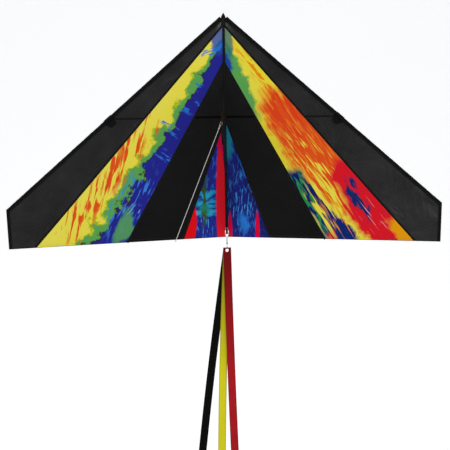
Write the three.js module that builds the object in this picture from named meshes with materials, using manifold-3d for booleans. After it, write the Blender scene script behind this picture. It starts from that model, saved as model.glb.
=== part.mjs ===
// A single-line delta kite, hung by its nose with the wings spread and the tails down.
// Millimetres, +Z up, -Y is the keel side that faces the flyer, +X is its right wing.
// The origin is the tip of the nose, and the spine hangs from it along -Z.
import * as THREE from 'three';
import { mergeVertices } from 'three/addons/utils/BufferGeometryUtils.js';
import Module from 'manifold-3d';

const wasm = await Module();
wasm.setup();

// Plan of one wing, as points [out from the spine, height], measured along the wing.
const NOSE = [0, 0];
const TIP = [711, -614];
const HEEL = [704, -742];
const TAIL_EDGE = [0, -712];
const SEAM_OUTER = [[0, -41], [615, -738.2]];
const SEAM_MIDDLE = [[0, -149], [323, -725.8]];
const SEAM_CENTRE = [[0, -341], [137.5, -717.9]];
const DIHEDRAL = THREE.MathUtils.degToRad(5);

// Cloth and rods.
const CLOTH = 0.6;
const HEM = 1.4;
const GAP = 0.3;
const SPAR_RADIUS = 2.5;
const SPAR_INSET = 5;
const SLEEVE_WIDTH = 14;
const TRAILING_HEM = 8;
const TIP_HEM = 12;
const ROOT_EDGE = 5.6;
const NOSE_EDGE = 9.8;

// The spreader crosses behind the sail at this height.
const SPREADER_HEIGHT = -326;
const CUTOUT = 13;
const CLIP_LENGTH = 16;
const ROD_BEHIND_SPAR = 8.6;

// The keel fin, as distance in front of the spine and height.
const KEEL_TOP = -215;
const KEEL_FOOT = -700;
const TOW = [171, -358];
const TOW_ROUND = 9;
const TOW_PATCH = 34;
const KEEL_HEM = 8;
const KEEL_LEAN = THREE.MathUtils.degToRad(-6.3);
const LINE_END = new THREE.Vector3(-158, -550, -704);
const LINE_RADIUS = 1;
const WIRE_RADIUS = 0.6;

// The tails hang from a swivel under the spine.
const SPINE_FOOT = -704;
const TAIL_HOLE = -699;
const TAIL_EYE = -727.2;
const RIBBON_PIN = -751;
const RIBBON_WIDTH = 25;
const RIBBON_LENGTH = 1500;

const group = new THREE.Group();

const colours = {
  cloth: [0x131312, 0.75, 0], dye: [0x2e3f9a, 0.7, 0], rod: [0x1a1a1a, 0.4, 0], vinyl: [0x0c0c0c, 0.3, 0],
  nickel: [0xd8d8dc, 0.25, 1], blackMetal: [0x2b2b2e, 0.35, 1], line: [0xeeeae6, 0.8, 0],
  red: [0xb22228, 0.7, 0], yellow: [0xd6d25a, 0.7, 0], black: [0x080808, 0.7, 0],
};

function add(parent, name, geometry, colour) {
  const [color, roughness, metalness] = colours[colour];
  const mesh = new THREE.Mesh(geometry, new THREE.MeshStandardMaterial({ color, roughness, metalness }));
  mesh.name = name;
  parent.add(mesh);
  return mesh;
}

// Straight edges of the plan: a point and a direction, moved sideways, and where two of them cross.
function edge([from, to]) {
  const a = new THREE.Vector2(...from);
  return { at: a, along: new THREE.Vector2(...to).sub(a).normalize() };
}

function shifted(line, distance) {
  const side = new THREE.Vector2(line.along.y, -line.along.x).multiplyScalar(distance);
  return { at: line.at.clone().add(side), along: line.along };
}

function meet(a, b) {
  const between = b.at.clone().sub(a.at);
  const reach = between.cross(b.along) / a.along.cross(b.along);
  return a.at.clone().addScaledVector(a.along, reach);
}

function corners(edges) {
  return edges.map((line, i) => meet(line, edges[(i + 1) % edges.length]));
}

// A shape drawn in X-Y and carried straight up Z.
function prism(shape, depth, curveSegments = 8) {
  return new THREE.ExtrudeGeometry(shape, { depth, bevelEnabled: false, curveSegments });
}

// A flat piece of cloth cut to an outline in the X-Z plane, with its thickness along Y.
function cloth(points, side, thickness, back = thickness / 2, hole = null) {
  const shape = new THREE.Shape(points.map((p) => new THREE.Vector2(side * p.x, p.y)));
  if (hole) {
    shape.holes.push(new THREE.Path().absarc(side * hole.x, hole.y, hole.radius, 0, 2 * Math.PI, true));
  }
  const geometry = prism(shape, thickness);
  geometry.rotateX(Math.PI / 2);
  geometry.translate(0, back, 0);
  return geometry;
}

// A round rod that runs from 0 along +Z.
function rod(radius, length, sides = 12) {
  const geometry = new THREE.CylinderGeometry(radius, radius, length, sides);
  geometry.rotateX(Math.PI / 2);
  geometry.translate(0, 0, length / 2);
  return geometry;
}

// A turned piece: the profile holds [radius, height] pairs about the Z axis.
function turned(profile, sides = 16) {
  const geometry = new THREE.LatheGeometry(profile.map(([r, h]) => new THREE.Vector2(r, h)), sides);
  geometry.rotateX(Math.PI / 2);
  return geometry;
}

// A vinyl cap over a rod's end: closed at the top by a web, with the rod's bore open below.
function endCap(outer, bore, length, web = 2) {
  const inside = [[0, length - web], [bore, length - web], [bore, 0]];
  const outside = [[outer, 0], [outer, length - 1], [outer - 1, length], [0, length]];
  return turned([...inside, ...outside]);
}

// Round wire bent along the given points.
function wire(points, radius, sides = 8, steps = 30, tension = 0.5) {
  const path = new THREE.CatmullRomCurve3(points, false, 'catmullrom', tension);
  const section = new THREE.Shape().absarc(0, 0, radius, 0, 2 * Math.PI, false);
  return new THREE.ExtrudeGeometry(section, {
    steps, bevelEnabled: false, extrudePath: path, curveSegments: sides / 2,
  });
}

function solid(geometry) {
  const bare = geometry.clone();
  bare.deleteAttribute('normal');
  bare.deleteAttribute('uv');
  const merged = mergeVertices(bare, 1e-4);
  return new wasm.Manifold(new wasm.Mesh({
    numProp: 3,
    vertProperties: new Float32Array(merged.attributes.position.array),
    triVerts: new Uint32Array(merged.index.array),
  }));
}

function geometryOf(body) {
  const mesh = body.getMesh();
  const geometry = new THREE.BufferGeometry();
  geometry.setAttribute('position', new THREE.BufferAttribute(new Float32Array(mesh.vertProperties), 3));
  geometry.setIndex(new THREE.BufferAttribute(new Uint32Array(mesh.triVerts), 1));
  return geometry;
}

function cut(geometry, ...tools) {
  return geometryOf(tools.reduce((body, tool) => body.subtract(solid(tool)), solid(geometry)));
}

function join(geometry, ...others) {
  return geometryOf(others.reduce((body, other) => body.add(solid(other)), solid(geometry)));
}

// Edges of one wing.
const leading = edge([NOSE, TIP]);
const tipEdge = edge([TIP, HEEL]);
const trailing = edge([TAIL_EDGE, HEEL]);
const outerSeam = edge(SEAM_OUTER);
const middleSeam = edge(SEAM_MIDDLE);
const centreSeam = edge(SEAM_CENTRE);
const rootEdge = edge([[ROOT_EDGE, 0], [ROOT_EDGE, -800]]);
const noseEdge = edge([[NOSE_EDGE, 0], [NOSE_EDGE, -800]]);
const sleeveEdge = shifted(leading, SLEEVE_WIDTH);
const tipHemEdge = shifted(tipEdge, TIP_HEM);
const hemTop = shifted(trailing, -TRAILING_HEM);
const EDGE_LENGTH = Math.hypot(...TIP);
const spreaderAt = SPREADER_HEIGHT / leading.along.y;

// The matrix that lays a piece made along +Z on the leading edge, its +X pointing into the sail.
function onLeadingEdge(side, distance, inset = 0) {
  const along = new THREE.Vector3(side * leading.along.x, 0, leading.along.y);
  const inward = new THREE.Vector3(side * leading.along.y, 0, -leading.along.x);
  const normal = new THREE.Vector3().crossVectors(along, inward);
  const place = new THREE.Matrix4().makeBasis(inward, normal, along);
  const start = along.clone().multiplyScalar(distance).addScaledVector(inward, inset);
  return place.setPosition(start);
}

// The sleeve is a fold of sail cloth: round over the spar and stitched flat behind it.
function sleeve(side, from, to) {
  const outer = 4.6;
  const lean = Math.acos((outer - HEM / 2) / (SLEEVE_WIDTH - SPAR_INSET));
  const shape = new THREE.Shape();
  shape.moveTo(SLEEVE_WIDTH, -HEM / 2);
  shape.lineTo(SLEEVE_WIDTH, HEM / 2);
  shape.absarc(SPAR_INSET, 0, outer, lean, 2 * Math.PI - lean, false);
  shape.holes.push(new THREE.Path().absarc(SPAR_INSET, 0, 3.7, 0, 2 * Math.PI, true));
  return prism(shape, to - from).applyMatrix4(onLeadingEdge(side, from));
}

function block(side, left, right, low, high) {
  const geometry = new THREE.BoxGeometry(right - left, 40, high - low);
  return geometry.translate(side * (left + right) / 2, 0, (low + high) / 2);
}

// A doubled patch of cloth on the face of the sail, beside the opening for the spreader.
function spreaderPatch(side) {
  const half = 19;
  const near = SLEEVE_WIDTH + 1;
  const reach = 34;
  const inward = new THREE.Vector2(leading.along.y, -leading.along.x);
  const outline = [[-half, near], [half, near], [half * 0.6, reach], [-half * 0.6, reach]];
  const points = outline.map(([distance, inset]) => leading.at.clone()
    .addScaledVector(leading.along, spreaderAt + distance).addScaledVector(inward, inset));
  return cloth(points, side, CLOTH, -CLOTH / 2 - GAP);
}

function wingOf(side, label) {
  const wing = new THREE.Group();
  wing.rotation.z = side * DIHEDRAL;
  group.add(wing);

  // Fibreglass spar with a vinyl cap at each end.
  const sparFrom = 30;
  const sparTo = 916;
  const spar = rod(SPAR_RADIUS, sparTo - sparFrom).applyMatrix4(onLeadingEdge(side, sparFrom, SPAR_INSET));
  add(wing, `${label}_leading_spar`, spar, 'rod');
  const cap = endCap(3.4, SPAR_RADIUS + GAP, 12);
  const tipCap = cap.clone().applyMatrix4(onLeadingEdge(side, sparTo - 10 + GAP, SPAR_INSET));
  add(wing, `${label}_spar_tip_cap`, tipCap, 'vinyl');
  const noseCap = cap.clone().rotateX(Math.PI);
  noseCap.applyMatrix4(onLeadingEdge(side, sparFrom + 10 - GAP, SPAR_INSET));
  add(wing, `${label}_spar_nose_cap`, noseCap, 'vinyl');

  // The sleeve opens where the spreader clips on, and is trimmed at the nose and at the tip.
  const upper = sleeve(side, 4, spreaderAt - CUTOUT);
  add(wing, `${label}_sleeve_upper`, cut(upper, block(side, -60, NOSE_EDGE, -60, 20)), 'cloth');
  const lower = sleeve(side, spreaderAt + CUTOUT, EDGE_LENGTH + 12);
  const tipTrim = block(side, 0, 60, -60, 60);
  tipTrim.rotateY(side * (Math.atan2(TIP[0] - HEEL[0], TIP[1] - HEEL[1]) * -1));
  tipTrim.translate(side * (TIP[0] - 1), 0, TIP[1]);
  add(wing, `${label}_sleeve_lower`, cut(lower, tipTrim), 'cloth');

  // Four sail panels from the leading edge to the spine, then the hems that bind them.
  const clear = GAP / 2;
  const foot = shifted(hemTop, -GAP);
  const outside = shifted(sleeveEdge, GAP);
  const tip = shifted(tipHemEdge, GAP);
  const beside = (seam) => [shifted(seam, clear), shifted(seam, -clear)];
  const [outerIn, outerOut] = beside(outerSeam);
  const [middleIn, middleOut] = beside(middleSeam);
  const [centreIn, centreOut] = beside(centreSeam);
  const panels = {
    outer_panel: [[noseEdge, outside, tip, foot, outerOut], 'cloth'],
    dye_panel: [[rootEdge, outerIn, foot, middleOut], 'dye'],
    inner_panel: [[rootEdge, middleIn, foot, centreOut], 'cloth'],
    centre_panel: [[rootEdge, centreIn, foot], 'dye'],
    trailing_hem: [[rootEdge, hemTop, tip, trailing], 'cloth'],
    tip_hem: [[outside, tipEdge, trailing, tipHemEdge], 'cloth'],
  };
  for (const [name, [edges, colour]] of Object.entries(panels)) {
    const thickness = name.endsWith('hem') ? HEM : CLOTH;
    add(wing, `${label}_${name}`, cloth(corners(edges), side, thickness), colour);
  }

  add(wing, `${label}_spreader_patch`, spreaderPatch(side), 'cloth');
}

for (const [side, label] of [[-1, 'left'], [1, 'right']]) {
  wingOf(side, label);
}

// The spine: a rod in a cloth sleeve, its top in the nose pocket and a drilled cap on its foot.
function spine() {
  const top = -12;
  const pocketFoot = -42;
  const sleeveFoot = -684;
  const footCap = 18;
  const capWeb = 10;
  const wide = 7.5;
  const deep = 9;
  const bore = 3.2;

  const outline = [[0, 0], [wide, top], [wide, pocketFoot], [-wide, pocketFoot], [-wide, top]];
  const pocket = cloth(outline.map((p) => new THREE.Vector2(...p)), 1, deep);
  const socket = rod(bore, top - pocketFoot + 2).translate(0, 0, pocketFoot - 2);
  add(group, 'nose_pocket', cut(pocket, socket), 'cloth');

  const foot = SPINE_FOOT + capWeb + 2 * GAP;
  const spar = rod(SPAR_RADIUS, top - GAP - foot).translate(0, 0, foot);
  add(group, 'spine_spar', spar, 'rod');

  const tube = new THREE.Shape().absarc(0, 0, 4.6, 0, 2 * Math.PI, false);
  tube.holes.push(new THREE.Path().absarc(0, 0, bore, 0, 2 * Math.PI, true));
  const depth = pocketFoot - GAP - sleeveFoot;
  add(group, 'spine_sleeve', prism(tube, depth).translate(0, 0, sleeveFoot), 'cloth');

  const cap = endCap(3.6, SPAR_RADIUS + GAP, footCap, capWeb);
  cap.rotateX(Math.PI).translate(0, 0, SPINE_FOOT + footCap);
  const hole = rod(1.1, 12).rotateY(Math.PI / 2).translate(-6, 0, TAIL_HOLE);
  add(group, 'spine_foot_cap', cut(cap, hole), 'vinyl');
}
spine();

// The spreader: a rod behind the sail, with a forked vinyl clip that pushes onto each bare spar.
function spreader() {
  const inner = 3.2;
  const outer = 5.2;
  const prong = -3;
  const socketLength = 24;
  const inward = new THREE.Vector2(leading.along.y, -leading.along.x);
  const spar = leading.along.clone().multiplyScalar(spreaderAt).addScaledVector(inward, SPAR_INSET);
  const reach = spar.x * Math.cos(DIHEDRAL);
  const behind = spar.x * Math.sin(DIHEDRAL) + ROD_BEHIND_SPAR;

  for (const [side, label] of [[-1, 'left'], [1, 'right']]) {
    const fork = new THREE.Shape();
    fork.moveTo(outer, side * prong);
    fork.absarc(0, 0, outer, 0, side * Math.PI, side < 0);
    fork.lineTo(-outer, side * prong);
    fork.lineTo(-inner, side * prong);
    fork.absarc(0, 0, inner, side * Math.PI, 0, side > 0);
    fork.lineTo(inner, side * prong);
    const grip = prism(fork, CLIP_LENGTH);
    grip.applyMatrix4(onLeadingEdge(side, spreaderAt - CLIP_LENGTH / 2, SPAR_INSET));
    grip.rotateZ(side * DIHEDRAL);
    const socket = rod(4.2, socketLength, 16).rotateY(-side * Math.PI / 2);
    socket.translate(side * (reach + 2), behind, spar.y);
    const bore = rod(SPAR_RADIUS + GAP, socketLength, 16).rotateY(-side * Math.PI / 2);
    bore.translate(side * (reach - 4), behind, spar.y);
    add(group, `spreader_clip_${label}`, cut(join(grip, socket), bore), 'vinyl');
  }
  const half = reach - 4 - GAP;
  const tube = rod(SPAR_RADIUS, 2 * half).rotateY(Math.PI / 2).translate(-half, behind, spar.y);
  add(group, 'spreader_rod', tube, 'rod');
}
spreader();

// The keel: a cloth fin in front of the spine, hemmed, with a thick patch and an eyelet at its tow point.
const keel = new THREE.Group();
keel.rotation.z = KEEL_LEAN;
group.add(keel);

const keelLeading = edge([[ROOT_EDGE, KEEL_TOP], TOW]);
const keelTrailing = edge([TOW, [ROOT_EDGE, KEEL_FOOT]]);
const towHole = meet(shifted(keelLeading, TOW_ROUND), shifted(keelTrailing, TOW_ROUND));

const onKeel = (geometry) => geometry.rotateZ(-Math.PI / 2);

function keelFin() {
  const patchThickness = 2.4;
  const holeRadius = 3.2;
  const patchEdge = edge([[TOW[0] - TOW_PATCH, 0], [TOW[0] - TOW_PATCH, -800]]);
  const finEdge = shifted(patchEdge, GAP);
  const leadingInner = shifted(keelLeading, KEEL_HEM);
  const trailingInner = shifted(keelTrailing, KEEL_HEM);
  const pieces = {
    keel_fin: [[rootEdge, shifted(leadingInner, GAP), finEdge, shifted(trailingInner, GAP)], CLOTH],
    keel_leading_hem: [[rootEdge, keelLeading, finEdge, leadingInner], HEM],
    keel_trailing_hem: [[rootEdge, trailingInner, finEdge, keelTrailing], HEM],
  };
  for (const [name, [edges, thickness]] of Object.entries(pieces)) {
    add(keel, name, onKeel(cloth(corners(edges), 1, thickness)), 'cloth');
  }

  const normalOf = (line) => Math.atan2(line.along.x, -line.along.y);
  const upper = meet(keelLeading, patchEdge);
  const lower = meet(keelTrailing, patchEdge);
  const shape = new THREE.Shape();
  shape.moveTo(upper.x, upper.y);
  shape.lineTo(lower.x, lower.y);
  shape.absarc(towHole.x, towHole.y, TOW_ROUND, normalOf(keelTrailing), normalOf(keelLeading), false);
  shape.holes.push(new THREE.Path().absarc(towHole.x, towHole.y, holeRadius, 0, 2 * Math.PI, true));
  const patch = prism(shape, patchThickness, 10);
  patch.rotateX(Math.PI / 2).translate(0, patchThickness / 2, 0);
  add(keel, 'tow_patch', onKeel(patch), 'cloth');

  const flange = [patchThickness / 2 + GAP, patchThickness / 2 + 0.9];
  const ring = [[2.2, -flange[1]], [5, -flange[1]], [5, -flange[0]], [2.9, -flange[0]], [2.9, flange[0]],
    [5, flange[0]], [5, flange[1]], [2.2, flange[1]], [2.2, -flange[1]]];
  const eyelet = turned(ring, 20).rotateY(Math.PI / 2).translate(0, -towHole.x, towHole.y);
  add(keel, 'tow_eyelet', eyelet, 'nickel');
}
keelFin();

// The snap swivel and the flying line lie on one straight pull from the tow eyelet to the line's end.
function towLine() {
  const slack = 0.7;
  const up = new THREE.Vector3(0, 0, 1);
  const eyelet = new THREE.Vector3(0, -towHole.x, towHole.y).applyAxisAngle(up, KEEL_LEAN);
  const pull = LINE_END.clone().sub(eyelet).normalize();
  const pin = eyelet.clone().addScaledVector(pull, slack);
  const across = new THREE.Vector3(Math.cos(KEEL_LEAN), Math.sin(KEEL_LEAN), 0);
  across.addScaledVector(pull, -across.dot(pull)).normalize();
  const third = new THREE.Vector3().crossVectors(pull, across);
  const place = new THREE.Matrix4().makeBasis(across, third, pull).setPosition(pin);

  const half = 4;
  const bend = [[0, 13], [-1.4, 11.6], [-half, 8], [-half, 3], [-3.2, 0.7], [-2.2, 0], [0, 0],
    [2.2, 0], [3.2, 0.7], [half, 3], [half, 8], [2.2, 11]];
  const snap = wire(bend.map(([x, z]) => new THREE.Vector3(x, 0, z)), WIRE_RADIUS, 8, 36);
  add(group, 'tow_snap', snap.applyMatrix4(place), 'nickel');
  const barrel = turned([[0, 13.4], [1.4, 13.4], [2.2, 14.4], [2.2, 18.6], [1.4, 19.6], [0, 19.6]]);
  add(group, 'tow_swivel_barrel', barrel.applyMatrix4(place), 'nickel');
  const eye = new THREE.TorusGeometry(1.8, 0.5, 8, 20).rotateX(Math.PI / 2).translate(0, 0, 22.3);
  add(group, 'tow_swivel_eye', eye.applyMatrix4(place), 'nickel');

  const knotFrom = 25;
  const knotTo = 33;
  const wraps = [[0, knotFrom], [1.5, knotFrom + 0.8], [1.9, knotFrom + 3], [1.6, knotTo - 1], [0, knotTo]];
  add(group, 'line_knot', turned(wraps, 12).applyMatrix4(place), 'line');
  const reach = LINE_END.distanceTo(pin);
  const ends = [new THREE.Vector3(0, 0, knotTo + GAP), new THREE.Vector3(0, 0, reach)];
  add(group, 'flying_line', wire(ends, LINE_RADIUS, 8, 80).applyMatrix4(place), 'line');
  const stopper = turned([[0, 0], [1.8, 0.8], [2.1, 2.6], [1.8, 4.4], [0, 5.2]], 12);
  add(group, 'line_end_knot', stopper.translate(0, 0, reach + GAP).applyMatrix4(place), 'line');
}
towLine();

// A cord loop through the spine's foot cap carries a small swivel and a long wire snap for the tails.
function tailHanger() {
  const eyeRadius = 1.9;
  const eyeWire = 0.45;
  const wide = 4.7;
  const narrow = 1.5;
  const half = [[narrow, TAIL_EYE + 0.8], [2.8, TAIL_EYE + 12], [wide, SPINE_FOOT - 3],
    [wide + 0.1, TAIL_HOLE - 1.4], [wide - 0.6, TAIL_HOLE - 0.1], [2.4, TAIL_HOLE]];
  const loop = [...half, ...half.toReversed().map(([x, z]) => [-x, z])];
  const cord = wire(loop.map(([x, z]) => new THREE.Vector3(x, 0, z)), WIRE_RADIUS, 8, 48);
  add(group, 'tail_loop', cord, 'blackMetal');
  const knot = turned([[0, -0.7], [0.6, -0.4], [0.7, 0], [0.6, 0.4], [0, 0.7]], 10);
  add(group, 'tail_loop_knot', knot.translate(0, 0, TAIL_EYE - 0.4), 'blackMetal');

  const eye = new THREE.TorusGeometry(eyeRadius, eyeWire, 8, 20).rotateY(Math.PI / 2);
  add(group, 'tail_swivel_eye', eye.translate(0, 0, TAIL_EYE), 'blackMetal');
  const top = TAIL_EYE - eyeRadius - eyeWire - GAP;
  const foot = top - 6.4;
  const barrel = turned([[0, foot], [1.3, foot], [2, foot + 1], [2, top - 1], [1.3, top], [0, top]]);
  add(group, 'tail_swivel_barrel', barrel, 'blackMetal');

  const start = foot - GAP;
  const bend = [[0, start], [-1.2, start - 1.4], [-3.5, start - 5.4], [-3.5, RIBBON_PIN + 3],
    [-2.7, RIBBON_PIN + 0.5], [-1.8, RIBBON_PIN], [0, RIBBON_PIN], [1.8, RIBBON_PIN],
    [2.7, RIBBON_PIN + 0.5], [3.5, RIBBON_PIN + 3], [3.5, start - 5.4], [2.1, start - 2]];
  const snap = wire(bend.map(([y, z]) => new THREE.Vector3(0, y, z)), WIRE_RADIUS, 8, 36);
  add(group, 'tail_snap', snap, 'blackMetal');
}
tailHanger();

// A ribbon hangs by a hole near its top, leans out and sways once down its length.
function ribbon(name, colour, y, lean, sway) {
  const thickness = 0.5;
  const steps = 24;
  const hole = { x: 0, y: RIBBON_PIN - 4.5, radius: 5.5 };
  const top = 4.5;
  const centre = (s) => lean * s + sway * Math.sin(Math.PI * s / RIBBON_LENGTH);
  const outline = [];
  for (const side of [-1, 1]) {
    for (let i = 0; i <= steps; i += 1) {
      const t = side < 0 ? i / steps : 1 - i / steps;
      const s = -top + t * (RIBBON_LENGTH + top);
      outline.push(new THREE.Vector2(centre(Math.max(s, 0)) + side * RIBBON_WIDTH / 2, RIBBON_PIN - s));
    }
  }
  add(group, name, cloth(outline, 1, thickness, y + thickness / 2, hole), colour);
}
ribbon('ribbon_red', 'red', -1.1, 0.033, -8);
ribbon('ribbon_yellow', 'yellow', 0, -0.012, -20);
ribbon('ribbon_black', 'black', 1.1, -0.105, -22);

export default group;
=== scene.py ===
import math

import bpy
from mathutils import Matrix, Vector


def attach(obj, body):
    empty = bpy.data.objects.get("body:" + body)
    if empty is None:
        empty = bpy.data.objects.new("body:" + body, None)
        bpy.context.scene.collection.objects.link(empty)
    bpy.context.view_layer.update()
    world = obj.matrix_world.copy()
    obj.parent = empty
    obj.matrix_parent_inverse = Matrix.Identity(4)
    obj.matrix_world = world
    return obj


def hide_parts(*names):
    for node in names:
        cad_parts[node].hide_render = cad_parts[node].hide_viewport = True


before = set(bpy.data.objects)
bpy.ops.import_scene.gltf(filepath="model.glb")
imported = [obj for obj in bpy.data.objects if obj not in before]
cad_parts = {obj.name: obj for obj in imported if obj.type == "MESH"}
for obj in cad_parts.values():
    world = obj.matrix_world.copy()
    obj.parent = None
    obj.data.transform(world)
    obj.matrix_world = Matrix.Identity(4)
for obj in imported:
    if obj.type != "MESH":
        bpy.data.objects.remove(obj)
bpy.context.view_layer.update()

# ------------------------------------------------------------------
# Studio. The kite hangs by its nose in front of a pale paper sweep,
# under two broad soft lights and a weak one from behind.
# ------------------------------------------------------------------
camera_data = bpy.data.cameras.new("studio_camera")
camera_data.sensor_width = 36
camera_data.lens = 86.4
camera_data.clip_end = 60
camera = bpy.data.objects.new("studio_camera", camera_data)
bpy.context.collection.objects.link(camera)
camera.matrix_world = (
    Matrix.Translation((-0.1334, -3.4441, -0.6168))
    @ Matrix.Rotation(-0.0371, 4, "Z")
    @ Matrix.Rotation(math.pi / 2 - 0.0168, 4, "X")
    @ Matrix.Rotation(-0.0169, 4, "Z")
)
bpy.context.scene.camera = camera


def node_material(name, roughness):
    material = bpy.data.materials.new(name)
    material.use_nodes = True
    tree = material.node_tree
    surface = tree.nodes["Principled BSDF"]
    surface.inputs["Roughness"].default_value = roughness
    return material, tree, surface


def place(tree, kind, links=None, **settings):
    node = tree.nodes.new(kind)
    for key, value in settings.items():
        setattr(node, key, value)
    for key, value in (links or {}).items():
        if isinstance(value, bpy.types.NodeSocket):
            tree.links.new(value, node.inputs[key])
        else:
            node.inputs[key].default_value = value
    return node


def blend(tree, factor, first, second):
    return place(tree, "ShaderNodeMix", {0: factor, 6: first, 7: second}, data_type="RGBA").outputs[2]


def bump(tree, height, strength, distance, normal=None):
    links = {"Height": height, "Strength": strength, "Distance": distance}
    if normal is not None:
        links["Normal"] = normal
    return place(tree, "ShaderNodeBump", links).outputs[0]


def two_tone(name, roughness, scale, dark, pale, detail=5.0):
    """A material that wanders between two tones, with its place and noise outputs."""
    material, tree, surface = node_material(name, roughness)
    spot = place(tree, "ShaderNodeTexCoord").outputs["Object"]
    noise = place(tree, "ShaderNodeTexNoise", {"Vector": spot, "Scale": scale, "Detail": detail}).outputs["Fac"]
    tree.links.new(blend(tree, noise, dark, pale), surface.inputs["Base Color"])
    return material, tree, surface, spot, noise


FLOOR_Z = -4.0
WALL_Y = 9.0
BEND = 1.5
paper, tree, surface, spot, _ = two_tone("sweep_paper", 0.95, 60.0, (0.9, 0.9, 0.9, 1), (0.94, 0.94, 0.94, 1),
    4.0)
surface.inputs["Specular IOR Level"].default_value = 0.1
# painted glow: the paper emits light in a soft round pool behind the kite, so the backdrop reads white
fit = place(tree, "ShaderNodeMapping", {"Vector": spot, "Location": (0.33, WALL_Y, -0.8),
    "Scale": (6.2, 4.6, 6.0)}, vector_type="TEXTURE")
pool = place(tree, "ShaderNodeTexGradient", {0: fit.outputs[0]}, gradient_type="SPHERICAL")
painted_glow = place(tree, "ShaderNodeMapRange", {"Value": pool.outputs["Fac"], 1: 0.0, 2: 0.4, 3: 0.0, 4: 0.55})
surface.inputs["Emission Color"].default_value = (1, 1, 1, 1)
tree.links.new(painted_glow.outputs[0], surface.inputs["Emission Strength"])

profile = [(-11.0, FLOOR_Z), (WALL_Y - BEND, FLOOR_Z)]
for step in range(1, 12):
    angle = step * math.pi / 24
    profile.append((WALL_Y - BEND + BEND * math.sin(angle), FLOOR_Z + BEND - BEND * math.cos(angle)))
profile += [(WALL_Y, FLOOR_Z + BEND), (WALL_Y, 8.0)]
sweep_mesh = bpy.data.meshes.new("paper_sweep")
sweep_mesh.from_pydata(
    [(x, y, z) for x in (-14, 14) for y, z in profile],
    [],
    [(i, i + 1, i + 1 + len(profile), i + len(profile)) for i in range(len(profile) - 1)],
)
sweep_mesh.materials.append(paper)
sweep_mesh.shade_smooth()
paper_sweep = bpy.data.objects.new("paper_sweep", sweep_mesh)
bpy.context.collection.objects.link(paper_sweep)

for name, spot_at, aim, power, size in (
    ("softbox_left", (-2.6, -3.2, 1.4), (0, 0, -0.4), 64, 2.2),
    ("softbox_right", (2.9, -3.0, 0.6), (0, 0, -0.5), 40, 2.2),
    ("rim_light", (0.3, 1.5, 1.2), (0, 0, -0.5), 8, 1.2),
):
    light = bpy.data.lights.new(name, "AREA")
    light.energy = power
    light.size = size
    lamp = bpy.data.objects.new(name, light)
    lamp.location = spot_at
    lamp.rotation_euler = (Vector(aim) - Vector(spot_at)).to_track_quat("-Z", "Y").to_euler()
    bpy.context.collection.objects.link(lamp)

room = bpy.data.worlds.new("studio_room")
room.use_nodes = True
room.node_tree.nodes["Background"].inputs["Color"].default_value = (0.95, 0.97, 1, 1)
room.node_tree.nodes["Background"].inputs["Strength"].default_value = 0.38
bpy.context.scene.world = room
bpy.context.scene.view_settings.view_transform = "Standard"

# ------------------------------------------------------------------
# Flying line. Three-strand twisted polyester, 2 mm thick, tied to
# the swivel's ring with a small wrapped knot and stopped by another.
# ------------------------------------------------------------------
tow_pin = Vector((-0.0177281, -0.1594351, -0.3607407))
pull = Vector((-0.260459, -0.725206, -0.637368)).normalized()
LINE_FROM = 0.0333
LINE_TO = 0.5386


def link_mesh(name, points, faces, material, smooth=True):
    mesh = bpy.data.meshes.new(name)
    mesh.from_pydata([tuple(p) for p in points], [], faces)
    mesh.materials.append(material)
    if smooth:
        mesh.shade_smooth()
    piece = bpy.data.objects.new(name, mesh)
    bpy.context.collection.objects.link(piece)
    return piece


def grid_faces(rows, wide, closed=False, flipped=False):
    """Quads between rows of points, each row so many points wide; closed joins a row's ends."""
    faces = []
    for i in range(rows):
        for k in range(wide if closed else wide - 1):
            a, b = i * wide + k, i * wide + (k + 1) % wide
            quad = (a, b, b + wide, a + wide)
            faces.append(quad[::-1] if flipped else quad)
    return faces


def strand_tube(name, path, radius, material, lobes=3, lay=0.006, depth=0.16, sides=12):
    points = []
    travelled = 0.0
    across = None
    for i, here in enumerate(path):
        ahead = path[min(i + 1, len(path) - 1)]
        behind = path[max(i - 1, 0)]
        along = (ahead - behind).normalized()
        if across is None:
            across = along.orthogonal().normalized()
        across = (across - along * across.dot(along)).normalized()
        third = along.cross(across)
        if i:
            travelled += (here - path[i - 1]).length
        turn = travelled / lay * math.tau
        for k in range(sides):
            angle = k / sides * math.tau
            reach = radius * (1 - depth + depth * math.cos(lobes * angle - turn))
            points.append(here + (across * math.cos(angle) + third * math.sin(angle)) * reach)
    faces = grid_faces(len(path) - 1, sides, closed=True)
    last = len(points) - sides
    faces.append(tuple(reversed(range(sides))))
    faces.append(tuple(range(last, last + sides)))
    return link_mesh(name, points, faces, material)


def thread_material(name, colour, shade, scale):
    material, tree, surface, _, fuzz = two_tone(name, 0.75, scale, shade, colour, 6.0)
    tree.links.new(bump(tree, fuzz, 0.5, 0.0002), surface.inputs["Normal"])
    surface.inputs["Sheen Weight"].default_value = 0.1
    return material


line_thread = thread_material("flying_line_thread", (0.95, 0.9, 0.88, 1), (0.6, 0.54, 0.53, 1), 900.0)
steps = 900
line_path = [tow_pin + pull * (LINE_FROM + (LINE_TO - LINE_FROM) * i / steps) for i in range(steps + 1)]
line_cord = strand_tube("line_cord", line_path, 0.001, line_thread, lobes=3, lay=0.007)


def wrapped_knot(name, centre, along, core, length, thread, turns, material):
    side = along.orthogonal().normalized()
    third = along.cross(side)
    path = []
    for i in range(turns * 16 + 1):
        f = i / (turns * 16)
        swell = core * (0.78 + 0.22 * math.sin(math.pi * f))
        angle = f * turns * math.tau
        around = (side * math.cos(angle) + third * math.sin(angle)) * swell
        path.append(centre + along * (length * (f - 0.5)) + around)
    return strand_tube(name, path, thread, material, lobes=2, lay=0.004, depth=0.1, sides=8)


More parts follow.
